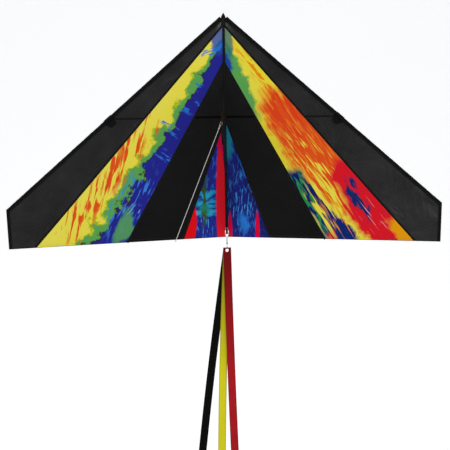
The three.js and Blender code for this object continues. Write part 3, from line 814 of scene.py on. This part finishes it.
# ------------------------------------------------------------------
# Keel. A single fin of the black sail cloth hemmed along both free
# edges, with a stiff doubled patch and a pressed eyelet at its point.
# ------------------------------------------------------------------
LEAN = math.radians(-6.3)
KEEL_TOP = (0.0052, -0.215)
KEEL_TIP = (0.171, -0.358)
KEEL_FOOT = (0.0052, -0.700)
EYELET = (0.159893, -0.3602946)
KEEL_BELLY = 0.0035
PATCH_SHARE = 0.2056


def on_keel(reach, z, out=0.0):
    spread = math.sin(math.pi * min(reach / KEEL_TIP[0], 1))
    belly = KEEL_BELLY * spread * math.sin(math.pi * min(max((-z - 0.215) / 0.485, 0), 1))
    wave = 0.0006 * math.sin(z / 0.012) * spread
    point = Vector((belly + wave + out, -reach, z))
    return Matrix.Rotation(LEAN, 3, "Z") @ point


def keel_strip(name, left, right, rows, columns, material, out, node=None, thick=0.0):
    points = []
    for i in range(rows + 1):
        a = between(left[0], left[1], i / rows)
        b = between(right[0], right[1], i / rows)
        for k in range(columns + 1):
            reach, z = between(a, b, k / columns)
            points.append(on_keel(reach, z, out))
    piece = link_mesh(name, points, grid_faces(rows, columns + 1), material)
    if thick:
        fold = piece.modifiers.new("fold", "SOLIDIFY")
        fold.thickness = thick
        fold.offset = 0
    if node:
        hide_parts(node)
    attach(piece, "keel")
    return piece


keel_rim = (0.1635, -0.3583)
fin = keel_strip("keel_cloth", (KEEL_TOP, keel_rim), (KEEL_FOOT, keel_rim), 60, 40, black_plain, 0.0,
    node="keel_fin")
keel_strip("keel_leading_fold", (KEEL_TOP, (0.1675, -0.3552)), ((0.0052, -0.2258), (0.1625, -0.3618)), 60, 3,
    tape_cloth, 0.0, node="keel_leading_hem", thick=0.0013)
keel_strip("keel_trailing_fold", ((0.0052, -0.6825), (0.1625, -0.3618)), (KEEL_FOOT, (0.1675, -0.3630)), 90, 3,
    tape_cloth, 0.0, node="keel_trailing_hem", thick=0.0013)

top_at = between(KEEL_TOP, KEEL_TIP, 1 - PATCH_SHARE)
foot_at = between(KEEL_FOOT, KEEL_TIP, 1 - PATCH_SHARE)
rim_points = [(0.137, top_at[1]), (0.137, foot_at[1])]
for degrees in range(-26, 49, 6):
    angle = math.radians(degrees)
    rim_points.append((EYELET[0] + 0.009 * math.cos(angle), EYELET[1] + 0.009 * math.sin(angle)))
outline = []
for a, b in zip(rim_points, rim_points[1:] + rim_points[:1]):
    count = max(1, int(math.dist(a, b) / 0.0015))
    outline += [between(a, b, i / count) for i in range(count)]
patch_points = []
for level in range(7):
    for reach, z in outline:
        angle = math.atan2(z - EYELET[1], reach - EYELET[0])
        hole = (EYELET[0] + 0.0034 * math.cos(angle), EYELET[1] + 0.0034 * math.sin(angle))
        at = between(hole, (reach, z), level / 6)
        patch_points.append(Matrix.Rotation(LEAN, 3, "Z") @ Vector((0, -at[0], at[1])))
tow_patch = link_mesh("tow_patch_cloth", patch_points, grid_faces(6, len(outline), closed=True), webbing)
patch_fold = tow_patch.modifiers.new("doubled_webbing", "SOLIDIFY")
patch_fold.thickness = 0.0024
patch_fold.offset = 0
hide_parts("tow_patch")
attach(tow_patch, "keel")

keel_rows = []
for face, normal in ((0.0009, Vector((1, 0, 0))), (-0.0009, Vector((-1, 0, 0)))):
    for start, end in (((0.0052, -0.2238), (0.134, -0.3345)), ((0.0052, -0.686), (0.134, -0.424))):
        line = []
        for i in range(60):
            reach, z = between(start, end, i / 59)
            line.append(on_keel(reach, z, face))
        keel_rows.append((line, normal))
for face, normal in ((0.0013, Vector((1, 0, 0))), (-0.0013, Vector((-1, 0, 0)))):
    line = []
    inner_rim = [(0.1385, top_at[1] + 0.0005), (0.1385, foot_at[1] + 0.004), (0.16, -0.3675), (0.167, -0.361),
        (0.163, -0.3545), (0.1385, top_at[1] + 0.0005)]
    for a, b in zip(inner_rim, inner_rim[1:]):
        for f in range(10):
            reach, z = between(a, b, f / 10)
            line.append(Matrix.Rotation(LEAN, 3, "Z") @ Vector((face, -reach, z)))
    keel_rows.append((line, normal))
stitches("keel_stitches", keel_rows, grey_thread, "keel")

# ------------------------------------------------------------------
# Tow swivel. A bright plated eyelet, a bent-wire snap and a turned
# barrel that lets the line spin without twisting the keel.
# ------------------------------------------------------------------
plated, tree, surface, _, polish = two_tone(
    "bright_nickel_plate", 0.22, 380.0, (0.62, 0.6, 0.58, 1), (0.9, 0.89, 0.88, 1))
plate_rough = place(tree, "ShaderNodeMapRange", {"Value": polish, 1: 0.3, 2: 0.7, 3: 0.14, 4: 0.34})
tree.links.new(plate_rough.outputs[0], surface.inputs["Roughness"])
surface.inputs["Metallic"].default_value = 1.0
finish_nodes(("tow_eyelet", "tow_snap", "tow_swivel_barrel", "tow_swivel_eye"), plated)

# ------------------------------------------------------------------
# Tail hanger. A cord loop through the foot cap, a blackened barrel
# swivel and a long wire snap that carries the ribbons.
# ------------------------------------------------------------------
blackened, tree, surface, _, _ = two_tone(
    "blackened_brass", 0.34, 520.0, (0.006, 0.006, 0.007, 1), (0.022, 0.021, 0.02, 1))
surface.inputs["Metallic"].default_value = 0.3
finish_nodes(("tail_swivel_eye", "tail_swivel_barrel", "tail_snap"), blackened)

loop_thread = thread_material("tail_loop_thread", (0.055, 0.056, 0.062, 1), (0.022, 0.023, 0.027, 1), 1100.0)
corners = [(-0.0003, -0.7266), (-0.0012, -0.7262), (-0.0018, -0.7135), (-0.0042, -0.7065), (-0.0047, -0.7005),
    (-0.0041, -0.6992), (-0.0024, -0.699)]
corners += [(-x, z) for x, z in reversed(corners)]
loop_curve = []
for i in range(len(corners) - 1):
    p0, p1, p2, p3 = (corners[min(max(i + j, 0), len(corners) - 1)] for j in (-1, 0, 1, 2))
    for f in range(10):
        t = f / 10
        at = [0.5 * (2 * p1[n] + (p2[n] - p0[n]) * t + (2 * p0[n] - 5 * p1[n] + 4 * p2[n] - p3[n]) * t * t
                     + (3 * p1[n] - p0[n] - 3 * p2[n] + p3[n]) * t ** 3) for n in (0, 1)]
        loop_curve.append(Vector((at[0], 0, at[1])))
loop_curve.append(Vector((corners[-1][0], 0, corners[-1][1])))
loop_cord = strand_tube("tail_loop_cord", loop_curve, 0.0006, loop_thread, lobes=2, lay=0.003, sides=10)
loop_wraps = wrapped_knot("tail_loop_wraps", Vector((0, 0, -0.7276)), Vector((0, 0, 1)), 0.0005, 0.001, 0.0003,
    3, loop_thread)
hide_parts("tail_loop")
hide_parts("tail_loop_knot")
for piece in (loop_cord, loop_wraps):
    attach(piece, "tail_loop")

# ------------------------------------------------------------------
# Ribbon tails. Three lengths of 25 mm polyester ribbon, hemmed on
# both edges, each punched near its top and hung from the wire snap:
# red in front, yellow in the middle, black at the back.
# ------------------------------------------------------------------
PIN = -0.751
WIDE = 0.025
LONG = 1.5


def ribbon_cloth(name, dark, pale, top):
    material, tree, surface = node_material(name, 0.6)
    spot = place(tree, "ShaderNodeTexCoord").outputs["Object"]
    split = place(tree, "ShaderNodeSeparateXYZ", {0: spot})
    # painted shade: each ribbon is painted darker at its top, just below the sail, easing off about 40 cm down
    down = place(tree, "ShaderNodeMapRange", {"Value": split.outputs[2], 1: -0.745, 2: -1.15})
    cut = place(tree, "ShaderNodeUVMap", uv_map="cut")
    cut_split = place(tree, "ShaderNodeSeparateXYZ", {0: cut.outputs[0]})
    cloud = place(tree, "ShaderNodeTexNoise", {"Vector": spot, "Scale": 22.0, "Detail": 5.0})
    body = blend(tree, cloud.outputs["Fac"], dark, pale)
    shaded_top = blend(tree, down.outputs[0], top, body)
    middle = place(tree, "ShaderNodeMath", {0: cut_split.outputs[0], 1: 0.5}, operation="SUBTRACT")
    outward = place(tree, "ShaderNodeMath", {0: middle.outputs[0]}, operation="ABSOLUTE")
    hem = place(tree, "ShaderNodeMapRange", {"Value": outward.outputs[0], 1: 0.38, 2: 0.41})
    hem_shade = place(tree, "ShaderNodeMath", {0: hem.outputs[0], 1: 0.35}, operation="MULTIPLY")
    hemmed = blend(tree, hem_shade.outputs[0], shaded_top, tuple(c * 0.35 for c in dark[:3]) + (1,))
    rib = place(tree, "ShaderNodeTexWave", {"Vector": spot, "Scale": 180.0, "Distortion": 0.4},
        wave_type="BANDS", bands_direction="Z")
    slack = place(tree, "ShaderNodeTexNoise", {"Vector": spot, "Scale": 30.0, "Detail": 4.0})
    fine = bump(tree, rib.outputs["Fac"], 0.2, 0.0002)
    soft = bump(tree, slack.outputs["Fac"], 0.25, 0.003, fine)
    tree.links.new(soft, surface.inputs["Normal"])
    tree.links.new(hemmed, surface.inputs["Base Color"])
    surface.inputs["Specular IOR Level"].default_value = 0.1
    return material


for name, body, y, lean, sway, cloth, seed in (
    ("red", "red_ribbon", -0.0011, 0.033, -0.008, ribbon_cloth("red_ribbon_cloth", ink("B0141C"), ink("CC222C"),
    ink("78080C")), 0.0),
    ("yellow", "yellow_ribbon", 0.0, -0.012, -0.020,
    ribbon_cloth("yellow_ribbon_cloth", ink("ECE414"), ink("F6EE30"), ink("80781A")), 1.7),
    ("black", "black_ribbon", 0.0011, -0.105, -0.022,
    ribbon_cloth("black_ribbon_cloth", ink("020202"), ink("080808"), ink("040404")), 3.1),
):
    def on_ribbon(across, s, out=0.0):
        run = max(s, 0)
        hang = min(run / 0.35, 1)
        wave = (0.0045 * math.sin(run * 6.3 + 0.4) + 0.0012 * math.sin(run * 15 + seed)) * hang
        curl = (0.0009 * math.sin(run * 11 + seed)) * hang * (across / 0.0125)
        apart = y * 3.2 * hang
        return Vector((lean * run + sway * math.sin(math.pi * run / LONG) + across,
            y + wave + curl + apart + out, PIN - s))

    points, cut = [], []
    hole_at = 0.0045
    box_low, box_high = -0.0045, 0.0165
    count = 40
    for level in range(5):
        for k in range(count):
            angle = k / count * math.tau
            c, s = math.cos(angle), math.sin(angle)
            middle = (box_low + box_high) / 2
            limit = min(0.0125 / max(abs(c), 1e-6), (box_high - hole_at) / s if s > 1e-6 else 1,
                (hole_at - box_low) / -s if s < -1e-6 else 1)
            reach = 0.0055 + (limit - 0.0055) * level / 4
            points.append(on_ribbon(c * reach, hole_at + s * reach))
            cut.append((c * reach / WIDE + 0.5, (hole_at + s * reach) / LONG))
    faces = grid_faces(4, count, closed=True, flipped=True)
    # four plain corners close the square outside the round rows
    base = len(points)
    for across, s in ((-0.0125, box_low), (0.0125, box_low), (-0.0125, box_high), (0.0125, box_high)):
        points.append(on_ribbon(across, s))
        cut.append((across / WIDE + 0.5, s / LONG))
    for corner, (across, s) in enumerate(((-0.0125, box_low), (0.0125, box_low), (-0.0125, box_high),
            (0.0125, box_high))):
        aim = math.atan2(s - hole_at, across) % math.tau
        k = int(aim / math.tau * count)
        a = 4 * count + k % count
        b = 4 * count + (k + 1) % count
        faces.append((a, base + corner, b))
    rows, columns = 420, 8
    start = len(points)
    for i in range(rows + 1):
        s = box_high + (LONG - box_high) * i / rows
        for k in range(columns + 1):
            across = (k / columns - 0.5) * WIDE
            points.append(on_ribbon(across, s))
            cut.append((k / columns, s / LONG))
    faces += [tuple(start + n for n in quad) for quad in grid_faces(rows, columns + 1)]
    tail = link_mesh(name + "_tail", points, faces, cloth)
    layer = tail.data.uv_layers.new(name="cut")
    for loop in tail.data.loops:
        layer.data[loop.index].uv = cut[loop.vertex_index]
    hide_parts("ribbon_" + name)
    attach(tail, body)
    rows_of_thread = []
    for across in (-0.0105, 0.0105):
        rows_of_thread.append(([on_ribbon(across, 0.018 + 1.478 * i / 300, -0.0002) for i in range(301)],
            flyer_side))
    for s in (LONG - 0.004,):
        rows_of_thread.append(([on_ribbon(-0.011 + 0.022 * i / 6, s, -0.0002) for i in range(7)], flyer_side))
    tail_thread = thread_material(name + "_tail_thread",
        tuple(c * 0.5 for c in cloth.node_tree.nodes["Mix"].inputs[6].default_value[:3]) + (1,),
        (0.01, 0.005, 0.005, 1), 1400.0)
    stitches(name + "_tail_stitches", rows_of_thread, tail_thread, body, width=0.0002, rise=0.0002)
